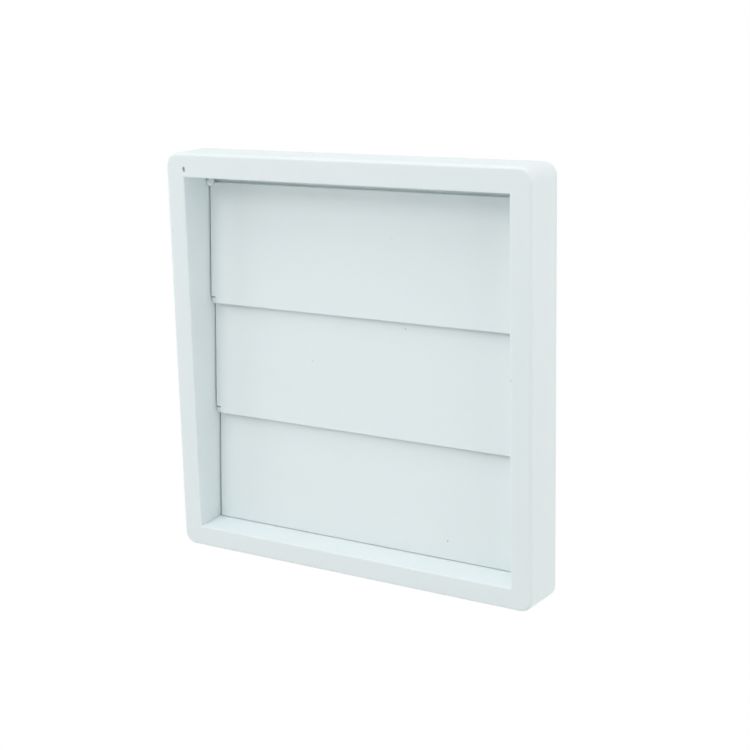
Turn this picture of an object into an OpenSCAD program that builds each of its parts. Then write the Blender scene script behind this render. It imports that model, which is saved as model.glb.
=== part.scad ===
// Gravity vent for an outside wall: a square casing, three hinged flaps and a round duct spigot.
// Lengths are in millimetres and angles in degrees.
// Each piece is drawn lying on the wall: x to the right, y up the wall, z out of the wall.
// stand_up() then turns it, so that z is up and the front face looks along -y.

/* [Casing] */
// Width and height of the casing at the wall
casing_w = 140; // [128:1:180]
// Depth of the casing, from the wall to the front face
casing_d = 16.5; // [15:0.5:30]
// Mean width of the flat border round the opening
border_w = 7.7; // [7.2:0.1:12]
// How far the opening's centre lies below the casing's, so that the border is wider at the top
opening_low = 0.65; // [0:0.05:0.8]
// Radius of the casing's four corners at the wall
corner_r = 6.5; // [5:0.5:9]
// How much each side leans in by the time it reaches the front face
side_draft = 0.1; // [0:0.1:0.8]
// Radius of the rounded edge round the front face
front_edge_r = 1.1; // [0.6:0.1:1.8]
// Radius of the rounded edge round the opening
opening_edge_r = 0.5; // [0.2:0.1:1]
// How much the sides and the top of the opening lean in by the time they reach the wall
opening_draft = 0.25; // [0:0.05:0.6]
// How much the sill of the opening rises by the time it reaches the wall, so that water runs out
sill_slope = 1.2; // [0.3:0.1:1.6]
// Wall thickness of the moulded frame
wall_t = 2; // [1.6:0.1:2.2]

/* [Flaps] */
// Thickness of a flap
flap_t = 1.1; // [0.9:0.1:1.5]
// Gap between each side edge of a flap and the frame
flap_side_gap = 0.7; // [0.6:0.1:2]
// Depth of the gap between a flap's lower edge and the face of the flap below
lap_gap = 1.2; // [1.1:0.1:2]
// How far a flap's lower edge hangs below the pivot of the flap below
lap_h = 1; // [0.5:0.1:1]
// Height from the top of the opening down to the top pivot
head_h = 2.8; // [2.5:0.1:6]
// Height of the bottom flap's lower edge above the back of the sill
sill_gap = 0.25; // [0.2:0.05:1]
// How much taller the top flap is than the bottom one
top_flap_extra = 2.8; // [0:0.1:5]
// How much taller the middle flap is than the bottom one
middle_flap_extra = 1.2; // [0:0.1:3]

/* [Pivots] */
// Diameter of the pins at the ends of a flap
pin_d = 2; // [1.6:0.1:2.2]
// Clearance all round a pin in its hole
pin_clearance = 0.08; // [0.04:0.01:0.1]
// Diameter of the round lug that carries each pin
lug_d = 2.6; // [2.6:0.1:3.2]
// How far a lug reaches in from the side edge of the flap
lug_l = 1.6; // [1.2:0.1:4]
// Gap between the end of a lug and the frame
end_play = 0.35; // [0.3:0.05:0.6]
// How far the flap's front face lies behind the pivot's axis
face_offset = 0.6; // [0.4:0.1:0.8]
// Gap between a swinging flap and the back plate
swing_gap = 0.25; // [0.2:0.05:2]
// Gap between a lug and the notch in the flap above
notch_gap = 0.3; // [0.3:0.1:0.8]
// Radius of the round pad that thickens the frame round a pin hole
pivot_pad_r = 2.8; // [2.4:0.1:4]
// Height of that pad
pivot_pad_t = 0.8; // [0.4:0.1:1.2]

/* [Back plate] */
// Thickness of the back plate
plate_t = 1.8; // [1.8:0.1:3]
// Gap between the back plate's edge and the frame
plate_gap = 0.25; // [0.15:0.05:0.5]
// Gap between the back plate's face and the walls of the opening
seat_gap = 0.1; // [0.05:0.05:0.3]
// Diameter of the wall screw holes
screw_d = 4; // [3.5:0.1:4.5]
// Diameter of the countersink of each screw hole
countersink_d = 6.4; // [5.5:0.1:6.6]
// Distance from the side of the opening to a screw hole's centre
screw_inset = 8.3; // [7:0.1:10]
// Height of a flap stop above the lower edge of its flap
stop_rise = 5; // [4.5:0.5:12]
// Length of a flap stop
stop_l = 4.5; // [2:0.5:10]
// Radius of the rounded top of a flap stop
stop_r = 0.9; // [0.6:0.1:1.2]
// Gap between a stop and its closed flap
stop_gap = 0.1; // [0.05:0.05:0.3]

/* [Spigot] */
// Inner diameter of the duct that pushes over the spigot
duct_d = 100; // [80:1:108]
// How much smaller than the duct the spigot is
duct_clearance = 1.5; // [0.5:0.1:3]
// Length of the spigot behind the wall plane
spigot_l = 30; // [15:1:80]
// Wall thickness of the spigot
spigot_t = 1.8; // [1.4:0.1:3]
// Length of the tapered lead at the spigot's end
spigot_lead_l = 1.5; // [0.5:0.1:3]
// How much the lead narrows the spigot's end all round
spigot_lead_r = 0.7; // [0.3:0.1:1]
// Radius of the rounded edge where air enters the spigot
mouth_r = 1; // [0.4:0.1:1.6]

/* [Snap tongues] */
// Distance between the two tongues on each side
tongue_spacing = 72; // [56:1:80]
// Width of a tongue
tongue_w = 9; // [6:0.5:12]
// Thickness of a tongue
tongue_t = 1.2; // [1:0.1:1.3]
// Gap between a tongue and the wall of the opening
tongue_gap = 1.2; // [1.15:0.05:1.25]
// Height of the tongue's hook above the wall
hook_z = 8; // [6:0.5:10]
// How far the hook stands out from the tongue
hook_reach = 1; // [0.8:0.1:1.1]
// How far the hook laps over the ledge in the frame
hook_lap = 0.5; // [0.3:0.1:0.6]
// Thickness of the ribs in the frame beside each tongue
rib_t = 1.2; // [0.8:0.1:1.6]
// Height of the ribs, down from the back of the front face
rib_h = 8; // [4:0.5:12]
// Gap between a tongue and the ribs beside it
rib_gap = 2; // [1:0.1:3]

/* [Hidden] */
$fn = 96;

shell_white = [0.93, 0.95, 0.95];
flap_white = [0.91, 0.94, 0.94];

// Lets a cut run past the face that it opens
over = 1;
// Sinks a rib or a lug into what carries it
root = 0.3;

// Opening, and the hollow channel behind the border
opening_w = casing_w - 2 * border_w;
opening_top = opening_w / 2 - opening_low;
sill_front_y = -opening_w / 2 - opening_low;
channel_in = opening_w / 2 + wall_t;
channel_out = casing_w / 2 - wall_t;
hollow_edge_r = 0.6;
seat_z = plate_t + seat_gap;

// Drop of each flap from its pivot to its lower edge, from the top flap to the bottom one
top_pivot_y = opening_top - head_h;
sill_back_y = sill_front_y + sill_slope * (1 - seat_z / casing_d);
lower_edge_y = sill_back_y + sill_gap;
pitch = (top_pivot_y - lower_edge_y - lap_h - top_flap_extra - middle_flap_extra) / 3;
drop = [pitch + top_flap_extra + lap_h, pitch + middle_flap_extra + lap_h, pitch + lap_h];
middle_pivot_y = top_pivot_y - drop[0] + lap_h;
bottom_pivot_y = middle_pivot_y - drop[1] + lap_h;
pivot_y = [top_pivot_y, middle_pivot_y, bottom_pivot_y];

// Flap section, measured from the pivot's axis
flap_half = opening_w / 2 - flap_side_gap;
rear_reach = max(lug_d / 2, norm([flap_t / 2, face_offset + flap_t / 2]) + flap_t / 2);
pivot_z = plate_t + swing_gap + rear_reach;
pin_hole_r = pin_d / 2 + pin_clearance;

// Half width of the opening at height z above the wall
function opening_half(z) = opening_w / 2 - opening_draft * (1 - z / casing_d);
// Angle at which a flap leans out, so that its lower edge clears the flap below
function lean(d) = asin((lap_gap + flap_t) / (d - lap_h));
// Length of a flap's section from its top edge to its lower edge
function flap_len(d) =
    (d - flap_t / 2 - (face_offset + flap_t / 2) * sin(lean(d))) / cos(lean(d)) + flap_t / 2;
// Height above the wall of a closed flap's rear face, a given distance below its pivot
function rear_face_z(d, below) =
    pivot_z + tan(lean(d)) * below - (face_offset + flap_t) / cos(lean(d));

lug_end = opening_half(pivot_z) - end_play;
pin_end = channel_in + pivot_pad_t - end_play;
notch_w = lug_l + notch_gap;
notch_h = lap_h + lug_d / 2 + notch_gap;

// Spigot
spigot_r = (duct_d - duct_clearance) / 2;
bore_r = spigot_r - spigot_t;

// Screw holes and snap tongues
screw_at = opening_w / 2 - screw_inset;
countersink_l = (countersink_d - screw_d) / 2;
tongue_x = channel_in + tongue_gap;
hook_h = 2;
hook_clearance = 0.2;
ledge_reach = channel_out - tongue_x - tongue_t - hook_reach + hook_lap;
ledge_h = 1.6;
ledge_nose = 0.4;
rib_at = tongue_w / 2 + rib_gap + rib_t / 2;

module stand_up() {
    rotate([90, 0, 0]) children();
}

// Copies its children onto the four sides of the square
module each_side() {
    for (a = [0:90:270]) rotate(a) children();
}

// Section of a drafted side with a rounded top edge, out to reach at the foot
module side_section(reach, h, draft, edge_r) {
    top = reach - draft;
    polygon([[0, 0], [reach, 0], [top, h - edge_r], [0, h - edge_r]]);
    square([top - edge_r, h]);
    translate([top - edge_r, h - edge_r]) circle(edge_r);
}

// Square block on the wall with round corners, drafted sides and a rounded top edge
module soft_block(half, r, h, draft, edge_r) {
    straight = half - r;
    for (a = [0, 90]) {
        rotate([90, 0, a]) linear_extrude(2 * straight, center = true) {
            side_section(half, h, draft, edge_r);
            mirror([1, 0]) side_section(half, h, draft, edge_r);
        }
    }
    for (x = [-1, 1], y = [-1, 1]) {
        translate([x * straight, y * straight, 0])
            rotate_extrude() side_section(r, h, draft, edge_r);
    }
}

// Square with round corners
module round_square(half, r) {
    straight = half - r;
    square([2 * half, 2 * straight], center = true);
    square([2 * straight, 2 * half], center = true);
    for (x = [-1, 1], y = [-1, 1]) translate([x * straight, y * straight]) circle(r);
}

// Section of the opening: two walls, each leaning in by its own lean, that round over onto the front face
module opening_section(leans) {
    half = opening_w / 2;
    for (m = [0, 1]) mirror([m, 0]) {
        foot = half - leans[m] * (1 + over / casing_d);
        polygon([[0, -over], [foot, -over], [half, casing_d], [half, casing_d + over], [0, casing_d + over]]);
        difference() {
            translate([half - over, casing_d - opening_edge_r])
                square([opening_edge_r + over, opening_edge_r + over]);
            translate([half + opening_edge_r, casing_d - opening_edge_r]) circle(opening_edge_r);
        }
    }
}

// The space between the sides, the top and the sill of the opening
module opening_space() {
    translate([0, -opening_low, 0]) intersection() {
        rotate([90, 0, 0]) linear_extrude(2 * casing_w, center = true)
            opening_section([opening_draft, opening_draft]);
        rotate([90, 0, 90]) linear_extrude(2 * casing_w, center = true)
            opening_section([opening_draft, sill_slope]);
    }
}

// Hollow channel between the outer skirt and the walls of the opening, open at the back
module border_hollow() {
    difference() {
        translate([0, 0, -over])
            soft_block(channel_out, corner_r - wall_t, casing_d - wall_t + over, side_draft, hollow_edge_r);
        translate([-channel_in, -channel_in - opening_low, seat_z])
            cube([2 * channel_in, 2 * channel_in, casing_d]);
    }
}

// Ledge inside the skirt that a tongue hooks over
module skirt_ledge() {
    top = hook_z - hook_clearance;
    inner = channel_out - ledge_reach;
    rotate([90, 0, 0]) linear_extrude(2 * rib_at, center = true)
        polygon([
            [channel_out + root, top],
            [inner, top],
            [inner, top - ledge_nose],
            [channel_out - side_draft, top - ledge_h],
            [channel_out + root, top - ledge_h]
        ]);
}

// Ribs that tie the skirt to the wall of the opening
module border_ribs() {
    top = casing_d - wall_t;
    inner = channel_in - opening_low - root;
    span = channel_out + root - inner;
    at = tongue_spacing / 2;
    for (y = [-at - rib_at, -at + rib_at, 0, at - rib_at, at + rib_at]) {
        translate([inner, y - rib_t / 2, top - rib_h]) cube([span, rib_t, rib_h + root]);
    }
}

// Pads that thicken both side walls round the pin holes
module pivot_pads() {
    intersection() {
        for (x = [-1, 1], y = pivot_y) {
            translate([x * (channel_in - root), y, pivot_z])
                rotate([0, x * 90, 0]) cylinder(r = pivot_pad_r, h = pivot_pad_t + root);
        }
        translate([-casing_w / 2, -casing_w / 2, seat_z]) cube([casing_w, casing_w, casing_d]);
    }
}

module front_frame() {
    color(shell_white) stand_up() difference() {
        union() {
            difference() {
                soft_block(casing_w / 2, corner_r, casing_d, side_draft, front_edge_r);
                border_hollow();
            }
            each_side() {
                border_ribs();
                for (y = [-1, 1]) translate([0, y * tongue_spacing / 2, 0]) skirt_ledge();
            }
            pivot_pads();
        }
        opening_space();
        for (y = pivot_y) {
            translate([-channel_out, y, pivot_z])
                rotate([0, 90, 0]) cylinder(r = pin_hole_r, h = 2 * channel_out);
        }
    }
}

// Flexible tongue with its hook, on the right-hand side of the plate
module snap_tongue() {
    outer = tongue_x + tongue_t;
    rotate([90, 0, 0]) linear_extrude(tongue_w, center = true)
        polygon([
            [tongue_x, plate_t - root],
            [outer, plate_t - root],
            [outer, hook_z],
            [outer + hook_reach, hook_z],
            [outer + hook_reach, hook_z + ledge_nose],
            [outer, hook_z + hook_h],
            [tongue_x, hook_z + hook_h]
        ]);
}

// Stop that the closed flap rests on, one at each end of the flap
module flap_stop(i) {
    below = drop[i] - stop_rise;
    top = rear_face_z(drop[i], below) - (stop_r + stop_gap) / cos(lean(drop[i]));
    for (x = [-1, 1]) {
        translate([x * (flap_half - stop_l / 2), pivot_y[i] - below, 0]) {
            translate([-stop_l / 2, -stop_r, plate_t - root]) cube([stop_l, 2 * stop_r, top - plate_t + root]);
            translate([0, 0, top]) rotate([0, 90, 0]) cylinder(r = stop_r, h = stop_l, center = true);
        }
    }
}

// Spigot before it is bored, with a tapered lead at its end
module spigot_blank() {
    rotate_extrude() polygon([
        [0, plate_t / 2],
        [0, -spigot_l],
        [spigot_r - spigot_lead_r, -spigot_l],
        [spigot_r, -spigot_l + spigot_lead_l],
        [spigot_r, plate_t / 2]
    ]);
}

// Bore of the spigot, with a rounded mouth
module airway() {
    rotate_extrude() {
        translate([0, -spigot_l - over]) square([bore_r, spigot_l + plate_t + 2 * over]);
        difference() {
            translate([bore_r - over, plate_t - mouth_r]) square(mouth_r + over);
            translate([bore_r + mouth_r, plate_t - mouth_r]) circle(mouth_r);
        }
    }
}

module screw_hole() {
    translate([0, 0, -over]) cylinder(d = screw_d, h = plate_t + 2 * over);
    translate([0, 0, plate_t - countersink_l])
        cylinder(d1 = screw_d, d2 = countersink_d + 2 * over, h = countersink_l + over);
}

module back_plate() {
    half = channel_out - plate_gap;
    color(shell_white) stand_up() difference() {
        union() {
            linear_extrude(plate_t) round_square(half, corner_r - wall_t - plate_gap);
            spigot_blank();
            each_side() {
                for (y = [-1, 1]) translate([0, y * tongue_spacing / 2, 0]) snap_tongue();
            }
            for (i = [0:2]) flap_stop(i);
        }
        airway();
        for (x = [-1, 1], y = [-1, 1]) translate([x * screw_at, y * screw_at, 0]) screw_hole();
    }
}

// Notch in a flap's lower corner that clears the lug of the flap below
module lug_notch(len) {
    translate([flap_half - notch_w, -len - over, -pivot_z])
        cube([notch_w + over, notch_h + over, 2 * pivot_z]);
}

// Round lug and its pin at the right-hand end of a flap
module lug_and_pin() {
    tip = 0.4;
    start = flap_half - lug_l;
    rotate([0, 90, 0]) rotate_extrude() polygon([
        [0, start],
        [lug_d / 2, start],
        [lug_d / 2, lug_end],
        [pin_d / 2, lug_end],
        [pin_d / 2, pin_end - tip],
        [pin_d / 2 - tip, pin_end],
        [0, pin_end]
    ]);
}

// Flap number i, hanging closed: a thin plate with rounded edges and a pin at each end
module flap(i) {
    len = flap_len(drop[i]);
    color(flap_white) stand_up()
    translate([0, pivot_y[i], pivot_z]) rotate([-lean(drop[i]), 0, 0]) {
        difference() {
            rotate([90, 0, 90]) linear_extrude(2 * flap_half, center = true)
                translate([0, -face_offset - flap_t / 2]) {
                    translate([flap_t / 2 - len, -flap_t / 2]) square([len - flap_t, flap_t]);
                    for (s = [flap_t / 2, len - flap_t / 2]) translate([-s, 0]) circle(flap_t / 2);
                }
            if (i < 2) {
                for (m = [0, 1]) mirror([m, 0, 0]) lug_notch(len);
            }
        }
        for (m = [0, 1]) mirror([m, 0, 0]) lug_and_pin();
    }
}

module flap_top() flap(0);
module flap_middle() flap(1);
module flap_bottom() flap(2);

front_frame();
back_plate();
flap_top();
flap_middle();
flap_bottom();
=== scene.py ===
"""Looks of a white moulded gravity vent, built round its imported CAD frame.

Sizes are in millimetres until a piece is finished, and x is to the right, y into the wall, z up.
"""

import logging
import math
from collections.abc import Callable, Iterable
from dataclasses import dataclass, field
from enum import Enum

import bmesh
import bpy
from bmesh.types import BMEdge, BMesh, BMFace, BMVert
from mathutils import Matrix, Vector


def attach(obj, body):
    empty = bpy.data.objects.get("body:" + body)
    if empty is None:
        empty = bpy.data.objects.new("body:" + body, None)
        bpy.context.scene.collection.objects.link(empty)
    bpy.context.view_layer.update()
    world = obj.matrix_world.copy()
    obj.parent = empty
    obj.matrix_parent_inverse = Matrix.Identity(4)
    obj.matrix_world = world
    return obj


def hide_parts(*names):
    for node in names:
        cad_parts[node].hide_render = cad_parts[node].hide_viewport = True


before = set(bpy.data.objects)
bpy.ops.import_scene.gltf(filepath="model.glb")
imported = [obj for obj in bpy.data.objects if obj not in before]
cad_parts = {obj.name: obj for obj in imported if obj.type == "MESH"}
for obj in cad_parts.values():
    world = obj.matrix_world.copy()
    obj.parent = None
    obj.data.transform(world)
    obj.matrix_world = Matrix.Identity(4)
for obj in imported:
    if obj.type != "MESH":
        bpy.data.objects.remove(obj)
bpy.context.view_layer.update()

LOG = logging.getLogger("gravity_vent")
MM = 0.001
WELD = 0.0004


class Body(Enum):
    """CAD bodies that the pieces ride on."""

    CASING = "casing"
    TOP_FLAP = "top_flap"
    MIDDLE_FLAP = "middle_flap"
    BOTTOM_FLAP = "bottom_flap"


class Slot(Enum):
    """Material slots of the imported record."""

    CASING = "casing"
    FLAPS = "flaps"


def srgb(code: str) -> tuple[float, float, float, float]:
    """Turns an sRGB hex colour into the linear colour that a shader takes.

    Args:
        code: Six hex digits after a hash sign.

    Returns:
        Linear red, green and blue, and an alpha of 1.
    """
    parts = [int(code[i : i + 2], 16) / 255 for i in (1, 3, 5)]
    linear = [p / 12.92 if p <= 0.04045 else ((p + 0.055) / 1.055) ** 2.4 for p in parts]
    return (*linear, 1.0)


def add_node(
    tree: bpy.types.NodeTree, kind: str, inputs: dict | None = None, **settings: object
) -> bpy.types.Node:
    """Adds a shader node with its settings, values and links.

    Args:
        tree: Node tree that gets the node.
        kind: Type name of the node.
        inputs: Socket name or number to a value, or to the output socket that feeds it.
        settings: Properties of the node itself.

    Returns:
        The new node.
    """
    made = tree.nodes.new(kind)
    for name, value in settings.items():
        setattr(made, name, value)
    for key, value in (inputs or {}).items():
        socket = made.inputs[key]
        if isinstance(value, bpy.types.NodeSocket):
            tree.links.new(value, socket)
        else:
            socket.default_value = value
    return made


@dataclass(frozen=True)
class Speck:
    """A small fleck of dirt that lies on a white surface."""

    place: tuple[float, float, float]
    radius: float
    strength: float


@dataclass(frozen=True)
class MouldedWhite:
    """White ASA, injection moulded in a lightly etched tool.

    The eye gets an even, cool white with a satin sheen, a very fine grain that blurs reflections, faint
    broad changes of tone where the melt cooled, and a few flecks of dirt.
    """

    name: str
    colour: str
    flow_colour: str
    roughness: float
    grain_mm: float = 0.7
    grain_depth_mm: float = 0.006
    flow_mm: float = 55.0
    sheen_patch_mm: float = 9.0
    specks: tuple[Speck, ...] = ()
    speck_colour: str = "#6E716C"
    ior: float = 1.49
    milkiness: float = 0.25
    scatter_mm: float = 0.8
    scatter_tint: tuple[float, float, float] = (1.0, 0.95, 0.75)

    def build(self) -> bpy.types.Material:
        """Makes the Blender material."""
        material = bpy.data.materials.new(self.name)
        material.use_nodes = True
        tree = material.node_tree
        tree.nodes.clear()
        place = add_node(tree, "ShaderNodeTexCoord").outputs["Object"]
        flow = self._noise(tree, place, self.flow_mm, 3.0)
        tone = add_node(
            tree, "ShaderNodeMix", {"Factor": flow, "A": srgb(self.colour), "B": srgb(self.flow_colour)},
            data_type="RGBA",
        ).outputs["Result"]
        for speck in self.specks:
            tone = self._with_speck(tree, place, tone, speck)
        patches = self._noise(tree, place, self.sheen_patch_mm, 2.0)
        roughness = add_node(
            tree, "ShaderNodeMapRange",
            {"Value": patches, "To Min": self.roughness - 0.03, "To Max": self.roughness + 0.03},
        ).outputs["Result"]
        grain = self._noise(tree, place, self.grain_mm, 4.0)
        bump = add_node(
            tree, "ShaderNodeBump", {"Height": grain, "Strength": 1.0, "Distance": self.grain_depth_mm * MM}
        ).outputs["Normal"]
        shader = add_node(
            tree, "ShaderNodeBsdfPrincipled",
            {
                "Base Color": tone,
                "Roughness": roughness,
                "Normal": bump,
                "IOR": self.ior,
                "Subsurface Weight": self.milkiness,
                "Subsurface Radius": self.scatter_tint,
                "Subsurface Scale": self.scatter_mm * MM,
            },
        )
        add_node(tree, "ShaderNodeOutputMaterial", {"Surface": shader.outputs["BSDF"]})
        return material

    def _noise(
        self, tree: bpy.types.NodeTree, place: bpy.types.NodeSocket, size_mm: float, detail: float
    ) -> bpy.types.NodeSocket:
        """Adds a noise whose lumps have the given real size, and returns its value."""
        return add_node(
            tree, "ShaderNodeTexNoise", {"Vector": place, "Scale": 1 / (size_mm * MM), "Detail": detail}
        ).outputs["Fac"]

    def _with_speck(
        self,
        tree: bpy.types.NodeTree,
        place: bpy.types.NodeSocket,
        tone: bpy.types.NodeSocket,
        speck: Speck,
    ) -> bpy.types.NodeSocket:
        """Lays one soft-edged fleck over the colour so far, and returns the new colour."""
        centre = tuple(c * MM for c in speck.place)
        distance = add_node(
            tree, "ShaderNodeVectorMath", {0: place, 1: centre}, operation="DISTANCE"
        ).outputs["Value"]
        cover = add_node(
            tree, "ShaderNodeMapRange",
            {
                "Value": distance,
                "From Min": speck.radius * MM * 1.3,
                "From Max": speck.radius * MM * 0.5,
                "To Min": 0.0,
                "To Max": speck.strength,
            },
        ).outputs["Result"]
        return add_node(
            tree, "ShaderNodeMix", {"Factor": cover, "A": tone, "B": srgb(self.speck_colour)},
            data_type="RGBA",
        ).outputs["Result"]


def face_loop(
    bm: BMesh, half: float, radius: float, y: float, z: float = 0.0, segments: int = 8
) -> list[BMEdge]:
    """Draws a square with round corners, parallel to the wall, as a loop of edges.

    Args:
        bm: Mesh that gets the loop.
        half: Half of the square's width.
        radius: Radius of its corners, or 0 for sharp ones.
        y: Distance behind the wall plane.
        z: Height of its centre.
        segments: Steps in each round corner.

    Returns:
        The edges of the loop.
    """
    lie = Matrix.Translation((0, y, z)) @ Matrix.Rotation(math.pi / 2, 4, "X")
    verts = bmesh.ops.create_grid(bm, x_segments=1, y_segments=1, size=half, matrix=lie)["verts"]
    face = verts[0].link_faces[0]
    if radius > 0:
        bmesh.ops.bevel(
            bm, geom=verts, offset=radius, offset_type="OFFSET", segments=segments, profile=0.5,
            affect="VERTICES", material=-1, clamp_overlap=False,
        )
        face = min(bm.faces, key=lambda f: 0 if f.calc_area() and _is_flat_at(f, y, half) else 1)
    edges = list(face.edges)
    bmesh.ops.delete(bm, geom=[face], context="FACES_ONLY")
    return edges


def _is_flat_at(face: BMFace, y: float, half: float) -> bool:
    """Says whether a face is the full square of that half width, at that depth."""
    corners = [v.co for v in face.verts]
    level = all(abs(c.y - y) < WELD for c in corners)
    return level and abs(max(c.x for c in corners) - half) < WELD and len(corners) > 4


def circle_loop(bm: BMesh, radius: float, y: float, at: tuple[float, float] = (0, 0), steps: int = 96) -> list[BMEdge]:
    """Draws a circle parallel to the wall, and returns its edges."""
    lie = Matrix.Translation((at[0], y, at[1])) @ Matrix.Rotation(math.pi / 2, 4, "X")
    verts = bmesh.ops.create_circle(bm, segments=steps, radius=radius, matrix=lie)["verts"]
    return list({e for v in verts for e in v.link_edges})


def in_order(loop: list[BMEdge]) -> list[BMVert]:
    """Lists the points of a loop by their angle round its centre."""
    verts = list({v for e in loop for v in e.verts})
    centre = sum((v.co for v in verts), Vector()) / len(verts)
    start = 0.001

    def angle(vert: BMVert) -> float:
        out = vert.co - centre
        return (math.atan2(out.z, out.x) + start) % (2 * math.pi)

    return sorted(verts, key=angle)


def bridge(bm: BMesh, first: list[BMEdge], second: list[BMEdge]) -> None:
    """Joins two loops of as many points with a band of faces."""
    a, b = in_order(first), in_order(second)
    for i in range(len(a)):
        bm.faces.new((a[i - 1], a[i], b[i], b[i - 1]))


def fill_between(bm: BMesh, *loops: list[BMEdge]) -> None:
    """Fills the flat face that lies between an outer loop and the loops inside it."""
    bmesh.ops.triangle_fill(bm, use_beauty=True, edges=[e for loop in loops for e in loop])


def round_over(bm: BMesh, edges: list[BMEdge], radius: float, segments: int = 4) -> None:
    """Rounds edges to a radius."""
    bmesh.ops.bevel(
        bm, geom=edges, offset=radius, offset_type="OFFSET", segments=segments, profile=0.5,
        affect="EDGES", material=-1, clamp_overlap=False,
    )


def rod(bm: BMesh, radius: float, start: float, end: float, y: float, z: float, rim: float, steps: int = 40) -> None:
    """Adds a round rod along x with rounded rims.

    Args:
        bm: Mesh that gets the rod.
        radius: Radius of the rod.
        start: Where it starts along x.
        end: Where it ends along x.
        y: Place of its axis behind the wall plane.
        z: Height of its axis.
        rim: Radius of its rounded rims, or 0 for sharp ones.
        steps: Points round the rod.
    """
    lie = Matrix.Translation(((start + end) / 2, y, z)) @ Matrix.Rotation(math.pi / 2, 4, "Y")
    verts = bmesh.ops.create_cone(
        bm, cap_ends=True, segments=steps, radius1=radius, radius2=radius, depth=abs(end - start), matrix=lie
    )["verts"]
    if rim > 0:
        rims = [e for e in {e for v in verts for e in v.link_edges} if abs(e.verts[0].co.x - e.verts[1].co.x) < WELD]
        round_over(bm, rims, rim, 3)


def block(bm: BMesh, low: Vector, high: Vector, edge: float) -> None:
    """Adds a box between two corners, with its edges rounded."""
    size = high - low
    place = Matrix.Translation((low + high) / 2) @ Matrix.Diagonal((*size, 1))
    verts = bmesh.ops.create_cube(bm, size=1, matrix=place)["verts"]
    if edge > 0:
        round_over(bm, list({e for v in verts for e in v.link_edges}), edge, 2)


def prism(bm: BMesh, outline: list[Vector], along: Vector) -> list[BMFace]:
    """Pushes a flat outline along a direction into a closed solid, and returns its faces."""
    verts = [bm.verts.new(p) for p in outline]
    face = bm.faces.new(verts)
    made = bmesh.ops.extrude_face_region(bm, geom=[face], use_keep_orig=True)["geom"]
    moved = [g for g in made if isinstance(g, BMVert)]
    bmesh.ops.translate(bm, vec=along, verts=moved)
    return list({f for v in verts + moved for f in v.link_faces})


def turned(bm: BMesh, quarter: int, draw: Callable[[], None]) -> None:
    """Draws something for the right-hand side and turns it onto another side of the square.

    Args:
        bm: Mesh that it is drawn in.
        quarter: How many quarter turns away its side is.
        draw: Function that draws it.
    """
    before = set(bm.verts)
    draw()
    new = [v for v in bm.verts if v not in before]
    bmesh.ops.rotate(bm, verts=new, cent=(0, 0, 0), matrix=Matrix.Rotation(quarter * math.pi / 2, 3, "Y"))


@dataclass
class Piece:
    """One moulding of the vent, drawn in millimetres and shown in place of its CAD node."""

    name: str
    cad_node: str
    body: Body
    slot: Slot
    material: bpy.types.Material
    sharp_above_deg: float = 38.0

    def show(self, bm: BMesh) -> bpy.types.Object:
        """Turns the drawn mesh into the shown piece.

        Args:
            bm: Closed mesh in millimetres. It is freed.

        Returns:
            The finished object, which rides on its body and replaces its CAD node.
        """
        bmesh.ops.remove_doubles(bm, verts=bm.verts, dist=WELD)
        bmesh.ops.recalc_face_normals(bm, faces=bm.faces)
        bmesh.ops.scale(bm, vec=(MM, MM, MM), verts=bm.verts)
        mesh = bpy.data.meshes.new(self.name)
        bm.to_mesh(mesh)
        bm.free()
        obj = bpy.data.objects.new(self.name, mesh)
        bpy.context.scene.collection.objects.link(obj)
        mesh.materials.append(self.material)
        mesh.shade_smooth()
        mesh.set_sharp_from_angle(angle=math.radians(self.sharp_above_deg))
        normals = obj.modifiers.new("even_shading", "WEIGHTED_NORMAL")
        normals.keep_sharp = True
        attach(obj, self.body.value)
        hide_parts(self.cad_node)
        LOG.info("%s: %d faces on %s", self.name, len(mesh.polygons), self.body.value)
        return obj


def cut(target: BMesh, cutter: BMesh) -> BMesh:
    """Takes one closed mesh away from another.

    Args:
        target: Mesh to cut. It is freed.
        cutter: Mesh that is taken away. It is freed.

    Returns:
        The cut mesh.
    """
    objects = []
    for label, bm in (("cut_target", target), ("cutter", cutter)):
        bmesh.ops.recalc_face_normals(bm, faces=bm.faces)
        mesh = bpy.data.meshes.new(label)
        bm.to_mesh(mesh)
        bm.free()
        objects.append(bpy.data.objects.new(label, mesh))
        bpy.context.scene.collection.objects.link(objects[-1])
    whole, tool = objects
    boolean = whole.modifiers.new("cut", "BOOLEAN")
    boolean.operation = "DIFFERENCE"
    boolean.solver = "EXACT"
    boolean.use_self = True
    boolean.object = tool
    result = bmesh.new()
    result.from_object(whole, bpy.context.evaluated_depsgraph_get())
    for obj in objects:
        mesh = obj.data
        bpy.data.objects.remove(obj)
        bpy.data.meshes.remove(mesh)
    return result


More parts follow.
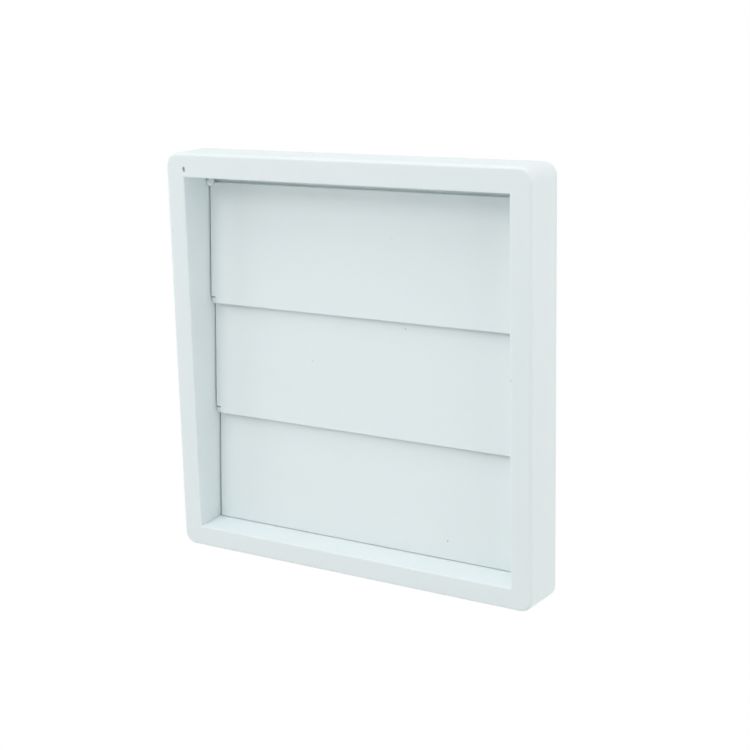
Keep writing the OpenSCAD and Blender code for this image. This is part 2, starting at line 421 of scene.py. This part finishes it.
@dataclass
class VentSizes:
    """Driving sizes that the mouldings share, in millimetres."""

    width: float = 140.0
    depth: float = 16.5
    border: float = 7.7
    opening_low: float = 0.65
    corner: float = 4.5
    draft: float = 0.1
    wall: float = 2.0
    opening_draft: float = 0.25
    sill_slope: float = 1.2
    plate: float = 1.8
    seat_gap: float = 0.1
    swing_gap: float = 0.25
    flap: float = 1.1
    face_offset: float = 0.6
    pin_diameter: float = 2.0
    pin_clearance: float = 0.08
    lug_diameter: float = 2.6
    end_play: float = 0.35
    pad_height: float = 0.8
    head: float = 2.8
    sill_gap: float = 0.25
    lap: float = 1.0
    lap_gap: float = 1.2
    top_flap_extra: float = 2.8
    middle_flap_extra: float = 1.2
    flap_side_gap: float = 0.7

    @property
    def half(self) -> float:
        """Half of the casing's width at the wall."""
        return self.width / 2

    @property
    def opening(self) -> float:
        """Half width of the opening at the front face."""
        return self.half - self.border

    @property
    def seat(self) -> float:
        """Distance of the opening walls' back edges from the wall plane."""
        return self.plate + self.seat_gap

    @property
    def pivot_depth(self) -> float:
        """Distance of the pivots' axes from the wall plane."""
        reach = math.hypot(self.flap / 2, self.face_offset + self.flap / 2) + self.flap / 2
        return self.plate + self.swing_gap + reach

    @property
    def channel_inner(self) -> float:
        """Half width at the channel's inner side."""
        return self.opening + self.wall

    @property
    def channel_outer(self) -> float:
        """Half width at the inner side of the skirt."""
        return self.half - self.wall

    @property
    def top_pivot(self) -> float:
        """Height of the top pivot."""
        return self.opening - self.opening_low - self.head

    def drops(self) -> list[float]:
        """How far each flap hangs below its pivot, from the top."""
        extras = (self.top_flap_extra, self.middle_flap_extra, 0.0)
        sill_back = self.sill_slope * (1 - self.seat / self.depth) - self.opening - self.opening_low
        span = self.top_pivot - sill_back - self.sill_gap
        pitch = (span - self.lap - sum(extras)) / len(extras)
        return [pitch + extra + self.lap for extra in extras]

    def pivots(self) -> list[float]:
        """Heights of the three pivots, from the top."""
        heights = [self.top_pivot]
        for drop in self.drops()[:-1]:
            heights.append(heights[-1] - drop + self.lap)
        return heights

    def opening_at(self, depth: float) -> float:
        """Half width of the opening at a distance from the wall plane."""
        return self.opening - self.opening_draft * (1 - depth / self.depth)

    def lean(self, drop: float) -> float:
        """Angle at which a flap leans out, so that its lower edge clears the flap below."""
        return math.asin((self.lap_gap + self.flap) / (drop - self.lap))


@dataclass
class FrontFrame:
    """The moulding with the border, the outer skirt and the walls of the opening."""

    sizes: VentSizes
    front_edge: float = 1.1
    opening_edge: float = 0.5
    rear_edge: float = 0.35
    border_band: float = 2.2
    flange: float = 1.5
    hollow_edge: float = 0.6
    rib: float = 1.2
    rib_height: float = 8.0
    rib_places: tuple[float, ...] = (-43.1, -28.9, 0.0, 28.9, 43.1)
    tongue_places: tuple[float, ...] = (-36.0, 36.0)
    ledge_half: float = 7.1
    ledge_reach: float = 0.8
    ledge_top: float = 7.8
    ledge_height: float = 1.6
    ledge_nose: float = 0.4
    pad_radius: float = 2.8
    sill_rise: float = 0.3

    def build(self, piece: Piece) -> bpy.types.Object:
        """Draws the frame and shows it."""
        bm = bmesh.new()
        self._shell(bm)
        for quarter in range(4):
            turned(bm, quarter, lambda: self._ribs_and_ledges(bm))
        self._pads(bm)
        return piece.show(cut(bm, self._pin_holes()))

    def _shell(self, bm: BMesh) -> None:
        """Draws skirt, border and opening walls as one closed wall round the hollow channel."""
        s = self.sizes
        front = -s.depth
        ceiling = -(s.depth - s.wall)
        inner_corner = s.corner - s.wall
        front_half = s.half - s.draft
        band = front_half - self.border_band
        foot = face_loop(bm, s.half, s.corner, 0)
        brow = face_loop(bm, front_half, s.corner - s.draft, front)
        border_out = face_loop(bm, band, s.corner - s.draft - self.border_band, front)
        border_in = face_loop(bm, s.opening + self.flange, 0, front, -s.opening_low)
        lip = face_loop(bm, s.opening, 0, front, -s.opening_low)
        wall_foot = face_loop(bm, s.opening_at(s.seat), 0, -s.seat, -s.opening_low)
        slope = (s.sill_slope - s.opening_draft) * (1 - s.seat / s.depth)
        for edge, rise in ((lip, self.sill_rise), (wall_foot, self.sill_rise + slope)):
            low = [v for v in in_order(edge) if v.co.z < 0]
            bmesh.ops.translate(bm, vec=(0, 0, rise), verts=low)
        wall_back = face_loop(bm, s.channel_inner, 0, -s.seat, -s.opening_low)
        wall_top = face_loop(bm, s.channel_inner, 0, ceiling, -s.opening_low)
        channel_top = face_loop(bm, s.channel_outer - s.draft, inner_corner - s.draft, ceiling)
        channel_foot = face_loop(bm, s.channel_outer, inner_corner, 0)
        bridge(bm, foot, brow)
        bridge(bm, brow, border_out)
        fill_between(bm, border_out, border_in)
        bridge(bm, border_in, lip)
        bridge(bm, lip, wall_foot)
        bridge(bm, wall_foot, wall_back)
        bridge(bm, wall_back, wall_top)
        fill_between(bm, channel_top, wall_top)
        bridge(bm, channel_top, channel_foot)
        bridge(bm, channel_foot, foot)
        round_over(bm, brow, self.front_edge, 6)
        round_over(bm, lip, self.opening_edge, 4)
        round_over(bm, foot, self.rear_edge, 3)

    def _ribs_and_ledges(self, bm: BMesh) -> None:
        """Draws the ribs and snap ledges inside the right-hand side of the border."""
        s = self.sizes
        ceiling = -(s.depth - s.wall)
        root = 0.3
        for z in self.rib_places:
            low = Vector((s.channel_inner - s.opening_low - root, ceiling - root, z - self.rib / 2))
            high = Vector((s.channel_outer + root, ceiling + self.rib_height, z + self.rib / 2))
            block(bm, low, high, 0)
        tip = s.channel_outer - self.ledge_reach
        for z in self.tongue_places:
            outline = [
                Vector((s.channel_outer + root, -self.ledge_top, z - self.ledge_half)),
                Vector((tip, -self.ledge_top, z - self.ledge_half)),
                Vector((tip, self.ledge_nose - self.ledge_top, z - self.ledge_half)),
                Vector((s.channel_outer - s.draft, self.ledge_height - self.ledge_top, z - self.ledge_half)),
                Vector((s.channel_outer + root, self.ledge_height - self.ledge_top, z - self.ledge_half)),
            ]
            prism(bm, outline, Vector((0, 0, 2 * self.ledge_half)))

    def _pads(self, bm: BMesh) -> None:
        """Draws the round pads that thicken the side walls at the pivots."""
        s = self.sizes
        root = 0.3
        reach = s.pivot_depth - s.seat
        for side in (-1, 1):
            for z in s.pivots():
                start = side * (s.channel_inner - root)
                end = side * (s.channel_inner + s.pad_height)
                rod(bm, min(self.pad_radius, reach), start, end, -s.pivot_depth, z, 0)

    def _pin_holes(self) -> BMesh:
        """Draws the rods that cut the pin holes through both side walls."""
        s = self.sizes
        bm = bmesh.new()
        for z in s.pivots():
            reach = s.channel_outer - 1
            rod(bm, s.pin_diameter / 2 + s.pin_clearance, -reach, reach, -s.pivot_depth, z, 0)
        return bm


@dataclass
class BackPlate:
    """The hidden moulding that is screwed to the wall and carries the duct spigot."""

    sizes: VentSizes
    gap: float = 0.25
    edge: float = 0.3
    spigot_radius: float = 49.25
    spigot_wall: float = 1.8
    spigot_length: float = 30.0
    lead_length: float = 1.5
    lead: float = 0.7
    mouth: float = 1.0
    screw_at: float = 54.0
    screw_radius: float = 2.0
    countersink_radius: float = 3.2
    tongue_places: tuple[float, ...] = (-36.0, 36.0)
    tongue_width: float = 9.0
    tongue_thickness: float = 1.2
    tongue_gap: float = 1.2
    hook_at: float = 8.0
    hook_reach: float = 1.0
    hook_height: float = 2.0
    hook_nose: float = 0.4
    stop_rise: float = 5.0
    stop_length: float = 4.5
    stop_radius: float = 0.9
    stop_gap: float = 0.1

    def build(self, piece: Piece) -> bpy.types.Object:
        """Draws the plate and shows it."""
        bm = bmesh.new()
        self._plate_and_spigot(bm)
        for quarter in range(4):
            turned(bm, quarter, lambda: self._tongues(bm))
        self._stops(bm)
        return piece.show(bm)

    def _plate_and_spigot(self, bm: BMesh) -> None:
        """Draws plate, screw holes and spigot as one closed skin."""
        s = self.sizes
        half = s.channel_outer - self.gap
        corner = s.corner - s.wall - self.gap
        front = -s.plate
        bore = self.spigot_radius - self.spigot_wall
        end = self.spigot_length
        rim_front = face_loop(bm, half, corner, front)
        rim_back = face_loop(bm, half, corner, 0)
        mouth = circle_loop(bm, bore + self.mouth, front)
        edges_front = [rim_front, mouth]
        edges_back = [rim_back]
        bridge(bm, rim_front, rim_back)
        for x in (-self.screw_at, self.screw_at):
            for z in (-self.screw_at, self.screw_at):
                wide = circle_loop(bm, self.countersink_radius, front, (x, z), 32)
                step = front + self.countersink_radius - self.screw_radius
                narrow = circle_loop(bm, self.screw_radius, step, (x, z), 32)
                out = circle_loop(bm, self.screw_radius, 0, (x, z), 32)
                bridge(bm, wide, narrow)
                bridge(bm, narrow, out)
                edges_front.append(wide)
                edges_back.append(out)
        profile = [(bore + self.mouth * (1 - math.sin(a)), front + self.mouth * (1 - math.cos(a)))
                   for a in (math.radians(d) for d in (30, 60, 90))]
        profile += [(bore, end), (self.spigot_radius - self.lead, end)]
        profile += [(self.spigot_radius, end - self.lead_length), (self.spigot_radius, 0)]
        last = mouth
        for radius, y in profile:
            ring = circle_loop(bm, radius, y)
            bridge(bm, last, ring)
            last = ring
        edges_back.append(last)
        fill_between(bm, *edges_front)
        fill_between(bm, *edges_back)

    def _tongues(self, bm: BMesh) -> None:
        """Draws the snap tongues on the right-hand side."""
        s = self.sizes
        inner = s.channel_inner + self.tongue_gap
        outer = inner + self.tongue_thickness
        root = 0.3 - s.plate
        top = -(self.hook_at + self.hook_height)
        for z in self.tongue_places:
            low = z - self.tongue_width / 2
            outline = [
                Vector((inner, root, low)),
                Vector((outer, root, low)),
                Vector((outer, -self.hook_at, low)),
                Vector((outer + self.hook_reach, -self.hook_at, low)),
                Vector((outer + self.hook_reach, -self.hook_at - self.hook_nose, low)),
                Vector((outer, top, low)),
                Vector((inner, top, low)),
            ]
            prism(bm, outline, Vector((0, 0, self.tongue_width)))

    def _stops(self, bm: BMesh) -> None:
        """Draws the two rests of each closed flap."""
        s = self.sizes
        flap_half = s.opening - s.flap_side_gap
        for pivot, drop in zip(s.pivots(), s.drops()):
            below = drop - self.stop_rise
            lean = s.lean(drop)
            rear = s.pivot_depth + math.tan(lean) * below - (s.face_offset + s.flap) / math.cos(lean)
            top = rear - (self.stop_radius + self.stop_gap) / math.cos(lean)
            for side in (-1, 1):
                start = side * flap_half
                end = side * (flap_half - self.stop_length)
                rod(bm, self.stop_radius, start, end, -top, pivot - below, 0, 24)
                low = Vector((min(start, end), -top, pivot - below - self.stop_radius))
                high = Vector((max(start, end), 0.3 - s.plate, pivot - below + self.stop_radius))
                block(bm, low, high, 0)


@dataclass
class Flap:
    """One thin hinged flap, with a lug and a pin at each end."""

    sizes: VentSizes
    pivot: float
    drop: float
    notched: bool
    edge: float = 0.45
    end_edge: float = 0.12
    lug_reach: float = 1.6
    lug_rim: float = 0.25
    pin_rim: float = 0.35
    notch_gap: float = 0.18

    def build(self, piece: Piece) -> bpy.types.Object:
        """Draws the flap hanging straight, tilts it onto its stops and shows it."""
        bm = bmesh.new()
        self._plate(bm)
        self._lugs_and_pins(bm)
        s = self.sizes
        tilt = Matrix.Rotation(-s.lean(self.drop), 4, "X")
        place = Matrix.Translation((0, -s.pivot_depth, self.pivot)) @ tilt
        bmesh.ops.transform(bm, matrix=place, verts=bm.verts)
        return piece.show(bm)

    def _length(self) -> float:
        """Length of the plate from its top edge to its lower edge."""
        s = self.sizes
        lean = s.lean(self.drop)
        level = self.drop - s.flap / 2 - (s.face_offset + s.flap / 2) * math.sin(lean)
        return level / math.cos(lean) + s.flap / 2

    def _plate(self, bm: BMesh) -> None:
        """Draws the plate, its long edges well rounded and its ends and notches finely."""
        s = self.sizes
        half = s.opening - s.flap_side_gap
        foot = -self._length()
        corner = [(half, foot)]
        if self.notched:
            inner = half - self.lug_reach - self.notch_gap
            step = foot + s.lap + s.lug_diameter / 2 + self.notch_gap
            corner = [(inner, foot), (inner, step), (half, step)]
        right = corner + [(half, 0.0)]
        left = [(-x, z) for x, z in reversed(right)]
        outline = [Vector((x, s.face_offset, z)) for x, z in right + left]
        prism(bm, outline, Vector((0, s.flap, 0)))
        ends = (foot, 0.0)
        long_edges = [e for e in bm.edges if self._runs_along_end(e, ends)]
        round_over(bm, long_edges, self.edge, 4)
        corner_angle = math.radians(60)
        sharp = [e for e in bm.edges if e.calc_face_angle(0) > corner_angle]
        round_over(bm, sharp, self.end_edge, 2)

    def _runs_along_end(self, edge: BMEdge, ends: tuple[float, float]) -> bool:
        """Says whether an edge runs from left to right along the plate's top or lower end."""
        a, b = (v.co for v in edge.verts)
        level = abs(a.z - b.z) < WELD and abs(a.y - b.y) < WELD
        return level and any(abs(a.z - z) < WELD for z in ends)

    def _lugs_and_pins(self, bm: BMesh) -> None:
        """Draws the round lug and the pin at each end."""
        s = self.sizes
        start = s.opening - s.flap_side_gap - self.lug_reach
        lug_end = s.opening_at(s.pivot_depth) - s.end_play
        pin_end = s.channel_inner + s.pad_height - s.end_play
        for side in (-1, 1):
            rod(bm, s.lug_diameter / 2, side * start, side * lug_end, 0, 0, self.lug_rim)
            rod(bm, s.pin_diameter / 2, side * (lug_end - 0.5), side * pin_end, 0, 0, self.pin_rim, 32)


@dataclass
class PhotoCamera:
    """Camera at the photograph's viewpoint."""

    image_px: float = 750.0
    focal_px: float = 1561.7
    azimuth: float = 33.132
    elevation: float = 13.347
    roll: float = -1.316
    distance: float = 503.1
    target: Vector = field(default_factory=lambda: Vector((13.325, -16.5, 1.09)))
    sensor: float = 36.0

    def build(self) -> None:
        """Makes the camera and sets it as the scene's."""
        az, el, roll = (math.radians(a) for a in (self.azimuth, self.elevation, self.roll))
        back = Vector((math.sin(az) * math.cos(el), -math.cos(az) * math.cos(el), math.sin(el)))
        level = Vector((0, 0, 1)).cross(back).normalized()
        rise = back.cross(level)
        across = level * math.cos(roll) + rise * math.sin(roll)
        up = rise * math.cos(roll) - level * math.sin(roll)
        data = bpy.data.cameras.new("photo_camera")
        data.sensor_width = self.sensor
        data.lens = self.focal_px * self.sensor / self.image_px
        data.clip_start = 0.01
        data.clip_end = 20.0
        camera = bpy.data.objects.new("photo_camera", data)
        turn = Matrix((across, up, back)).transposed().to_4x4()
        camera.matrix_world = Matrix.Translation((self.target + back * self.distance) * MM) @ turn
        bpy.context.scene.collection.objects.link(camera)
        bpy.context.scene.camera = camera


@dataclass
class Softbox:
    """A square studio lamp, with its place and size in metres."""

    name: str
    place: tuple[float, float, float]
    size: float
    power: float
    aim: tuple[float, float, float] = (0.0, 0.0, 0.0)

    def build(self) -> None:
        """Makes the lamp, turned to what it lights."""
        data = bpy.data.lights.new(self.name, "AREA")
        data.shape = "SQUARE"
        data.size = self.size
        data.energy = self.power
        lamp = bpy.data.objects.new(self.name, data)
        look = Vector(self.aim) - Vector(self.place)
        turn = look.to_track_quat("-Z", "Y").to_matrix().to_4x4()
        lamp.matrix_world = Matrix.Translation(self.place) @ turn
        bpy.context.scene.collection.objects.link(lamp)


@dataclass
class Studio:
    """White sweep, soft lamps and sky light."""

    floor_level: float = -0.3
    floor_size: float = 12.0
    floor_colour: str = "#F4F5F5"
    sky: float = 0.18
    lamps: tuple[Softbox, ...] = (
        Softbox("key_softbox", (-0.35, -1.3, 0.95), 0.7, 8.0),
        Softbox("top_softbox", (0.0, -0.25, 1.2), 1.2, 10.4),
        Softbox("left_softbox", (-1.4, -0.5, 0.0), 1.0, 7.0),
        Softbox("right_softbox", (1.4, -0.5, 0.05), 1.0, 5.6),
        Softbox("back_right_softbox", (1.0, 0.6, 0.2), 1.0, 4.4),
    )

    def build(self) -> None:
        """Makes the floor, the sky and the lamps."""
        self._floor()
        self._sky()
        for lamp in self.lamps:
            lamp.build()

    def _seen_directly(self, tree: bpy.types.NodeTree) -> bpy.types.NodeSocket:
        """Adds a value that is 1 for rays from the camera, from gloss and through glass."""
        path = add_node(tree, "ShaderNodeLightPath").outputs
        gloss = add_node(
            tree, "ShaderNodeMath", {0: path["Is Camera Ray"], 1: path["Is Glossy Ray"]}, operation="ADD"
        ).outputs[0]
        return add_node(
            tree, "ShaderNodeMath", {0: gloss, 1: path["Is Transmission Ray"]}, operation="ADD", use_clamp=True
        ).outputs[0]

    def _floor(self) -> None:
        """Makes the floor, white to the eye, which bounces light up from outside the vent's shadow."""
        bm = bmesh.new()
        lie = Matrix.Translation((0, 0, self.floor_level))
        bmesh.ops.create_grid(bm, x_segments=1, y_segments=1, size=self.floor_size / 2, matrix=lie)
        mesh = bpy.data.meshes.new("studio_floor")
        bm.to_mesh(mesh)
        bm.free()
        floor = bpy.data.objects.new("studio_floor", mesh)
        bpy.context.scene.collection.objects.link(floor)
        material = bpy.data.materials.new("white_studio_floor")
        material.use_nodes = True
        tree = material.node_tree
        tree.nodes.clear()
        matt = add_node(tree, "ShaderNodeBsdfDiffuse", {"Color": srgb(self.floor_colour)}).outputs["BSDF"]
        glow = add_node(tree, "ShaderNodeEmission", {"Color": srgb("#FFFFFF"), "Strength": 1.0}).outputs[0]
        seen = self._seen_directly(tree)
        surface = add_node(tree, "ShaderNodeMixShader", {0: seen, 1: matt, 2: glow}).outputs[0]
        add_node(tree, "ShaderNodeOutputMaterial", {"Surface": surface})
        mesh.materials.append(material)

    def _sky(self) -> None:
        """Makes the even light that comes from all round, and the white behind the vent."""
        world = bpy.data.worlds.new("studio_sky")
        world.use_nodes = True
        tree = world.node_tree
        tree.nodes.clear()
        light = add_node(tree, "ShaderNodeBackground", {"Color": srgb("#FFFFFF"), "Strength": self.sky})
        white = add_node(tree, "ShaderNodeBackground", {"Color": srgb("#FFFFFF"), "Strength": 1.0})
        seen = self._seen_directly(tree)
        mixed = add_node(
            tree, "ShaderNodeMixShader", {0: seen, 1: light.outputs[0], 2: white.outputs[0]}
        ).outputs[0]
        add_node(tree, "ShaderNodeOutputWorld", {"Surface": mixed})
        bpy.context.scene.world = world


CASING_SPECKS = (
    Speck((-62.15, -16.5, 64.7), 0.55, 0.92),
    Speck((-62.0, -16.5, 64.0), 0.52, 0.8),
    Speck((-68.3, -16.3, 43.2), 0.5, 0.12),
    Speck((62.6, -16.4, 4.7), 0.4, 0.3),
)
FLAP_SPECKS = (
    Speck((12.8, -4.12, 43.8), 0.45, 0.1),
    Speck((17.1, -3.46, 14.2), 0.35, 0.35),
    Speck((-19.8, -4.29, -0.2), 0.35, 0.22),
    Speck((33.1, -5.27, -55.4), 0.28, 0.6),
)


def main() -> None:
    """Builds the vent, the studio and the camera."""
    logging.basicConfig(level=logging.INFO, format="%(message)s")
    bpy.context.scene.view_settings.view_transform = "Standard"
    sizes = VentSizes()
    casing_white = MouldedWhite("white_asa_moulded_casing", "#E6EEEF", "#E3ECED", 0.42, specks=CASING_SPECKS).build()
    flap_white = MouldedWhite("white_asa_moulded_flaps", "#E8F0F1", "#E5EEEF", 0.4, specks=FLAP_SPECKS).build()
    FrontFrame(sizes).build(Piece("front_frame_moulding", "front_frame", Body.CASING, Slot.CASING, casing_white))
    BackPlate(sizes).build(Piece("back_plate_moulding", "back_plate", Body.CASING, Slot.CASING, casing_white))
    names = ("top", "middle", "bottom")
    bodies = (Body.TOP_FLAP, Body.MIDDLE_FLAP, Body.BOTTOM_FLAP)
    for name, body, pivot, drop in zip(names, bodies, sizes.pivots(), sizes.drops()):
        if body is Body.BOTTOM_FLAP:
            flap = Flap(sizes, pivot, drop, notched=False, edge=0.15)
        else:
            flap = Flap(sizes, pivot, drop, notched=True)
        flap.build(Piece(f"{name}_flap_moulding", f"flap_{name}", body, Slot.FLAPS, flap_white))
    Studio().build()
    PhotoCamera().build()


if __name__ == "__main__":
    main()
